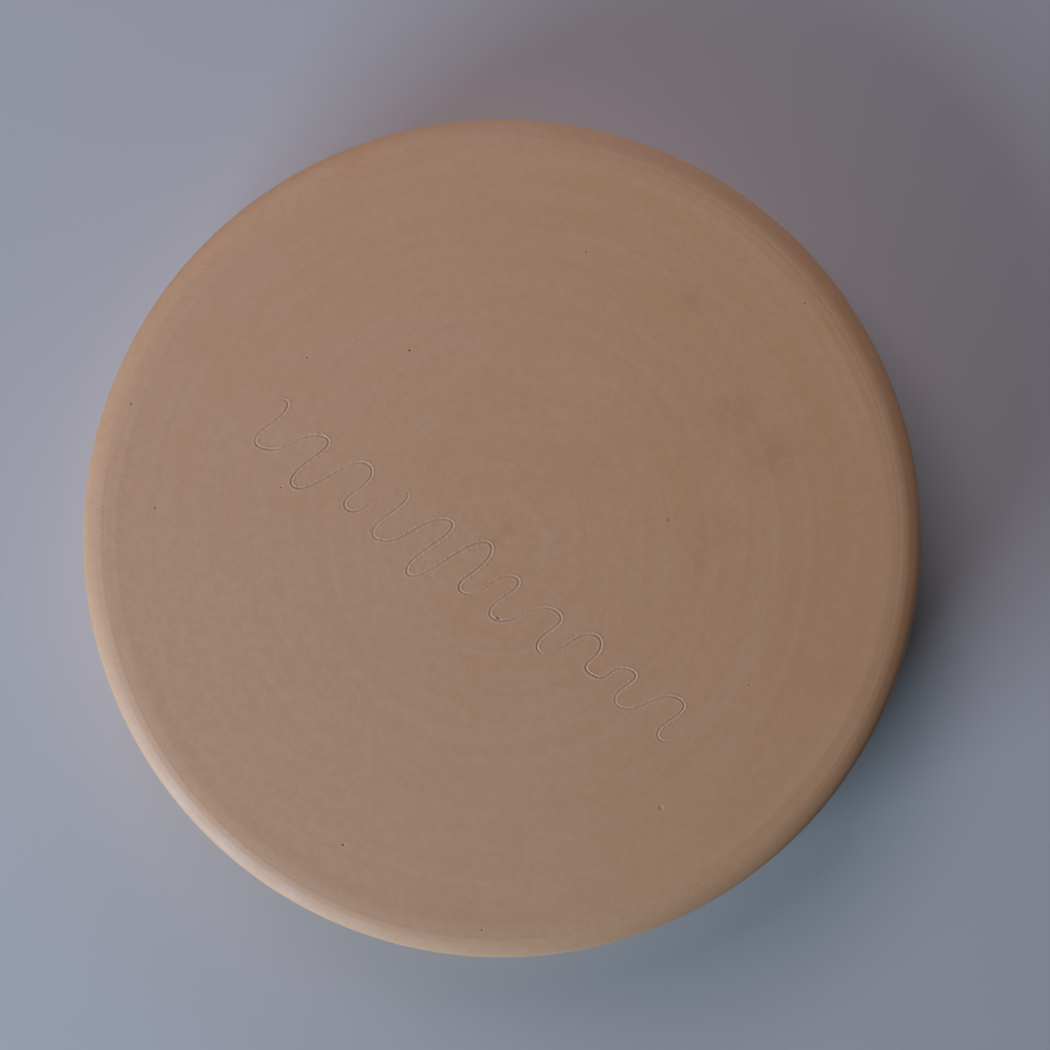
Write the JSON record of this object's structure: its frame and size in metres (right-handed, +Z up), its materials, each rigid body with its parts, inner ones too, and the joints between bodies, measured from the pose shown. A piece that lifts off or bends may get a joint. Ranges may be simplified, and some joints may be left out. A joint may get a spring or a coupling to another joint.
{
  "type": "plaster mold",
  "caption": "Round two-part plaster press mold for a small plate, with a flat turned back and rounded edge; the halves close on round keys and the upper one lifts off.",
  "frame": {"origin": "centre of the flat face that the closed mold stands on", "axes": "+Z up along the axis of the turned outline, the way the upper half lifts off; +X towards one pry notch; the score line across the seam is at -Y"},
  "size_m": [0.3, 0.3, 0.058],
  "materials": {
    "plaster": "matte",
    "key_plastic": "satin"
  },
  "bodies": {
    "lower_mold": {"lower_half": "plaster", "natch_pin_1": "key_plastic", "natch_pin_2": "key_plastic", "natch_pin_3": "key_plastic", "natch_pin_4": "key_plastic"},
    "upper_mold": {"upper_half": "plaster", "natch_socket_1": "key_plastic", "natch_socket_2": "key_plastic", "natch_socket_3": "key_plastic", "natch_socket_4": "key_plastic"}
  },
  "joints": [
    {"name": "upper_half_lift", "type": "slide", "parent": "lower_mold", "child": "upper_mold", "axis": [0, 0, 1], "range_m": [0, 0.12]}
  ]
}
